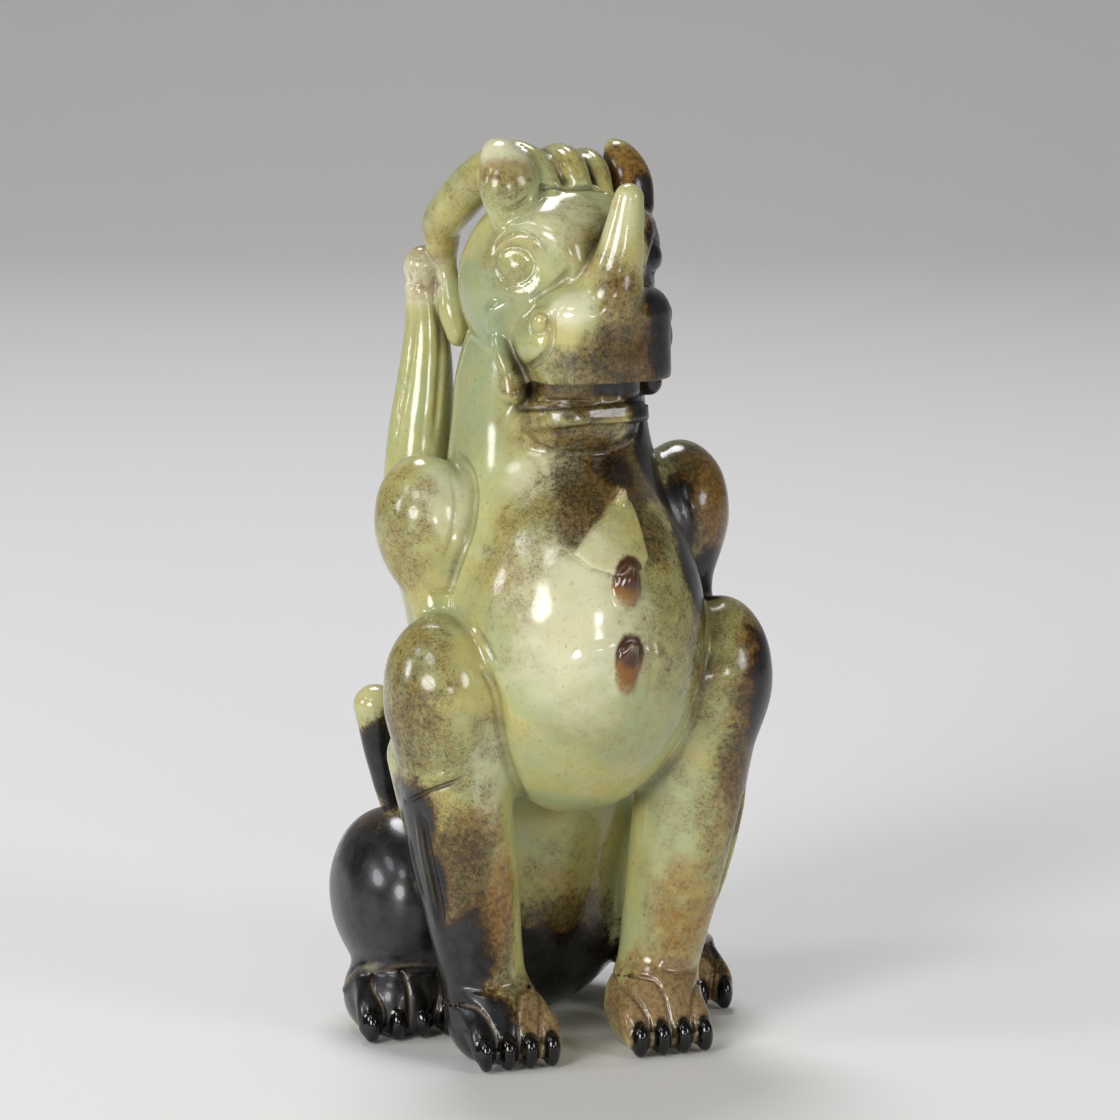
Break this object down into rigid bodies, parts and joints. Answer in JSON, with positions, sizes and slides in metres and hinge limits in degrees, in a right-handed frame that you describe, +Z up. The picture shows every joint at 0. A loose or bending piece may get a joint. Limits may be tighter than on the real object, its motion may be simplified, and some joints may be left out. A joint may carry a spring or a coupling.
{
  "type": "jade dragon carving",
  "caption": "Upright seated horned dragon carved in the round, for display; it rests flat on its paws, hind feet and rump.",
  "frame": {"origin": "centre of the bounding box at the level of the soles", "axes": "+Z up, the creature's chest faces -Y and its own right side is -X"},
  "size_m": [0.053, 0.059, 0.1188],
  "materials": {
    "nephrite": "high polish, translucent celadon to olive with brown and black skin"
  },
  "bodies": {
    "root": {"dragon_carving": "nephrite"}
  },
  "joints": []
}
